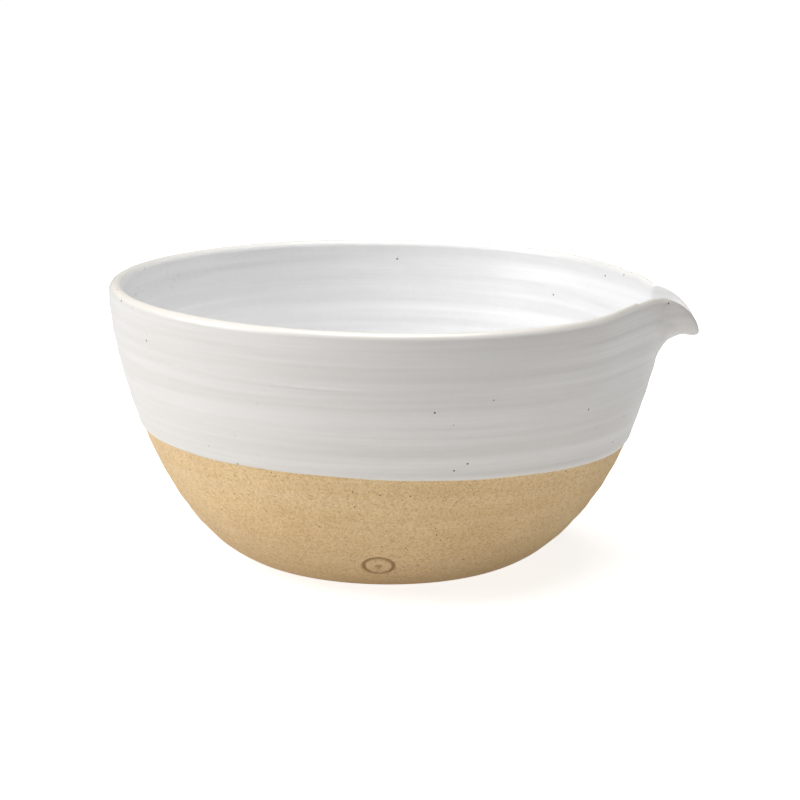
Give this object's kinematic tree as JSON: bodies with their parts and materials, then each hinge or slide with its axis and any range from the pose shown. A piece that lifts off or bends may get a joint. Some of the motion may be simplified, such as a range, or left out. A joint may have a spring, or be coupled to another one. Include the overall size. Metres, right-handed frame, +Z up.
{
  "type": "mixing bowl",
  "caption": "Round stoneware mixing bowl with a pulled pouring spout, glazed white inside and over the upper half outside, with bare clay below.",
  "frame": {"origin": "centre of the flat foot, on the surface the bowl stands on", "axes": "+Z up along the axis the bowl was thrown about; +X towards the spout; the seal faces -Y"},
  "size_m": [0.2533, 0.24, 0.1201],
  "materials": {
    "bare_stoneware": "matte",
    "white_glaze": "satin"
  },
  "bodies": {
    "root": {"stoneware_body": "bare_stoneware", "interior_glaze": "white_glaze", "exterior_glaze": "white_glaze"}
  },
  "joints": []
}
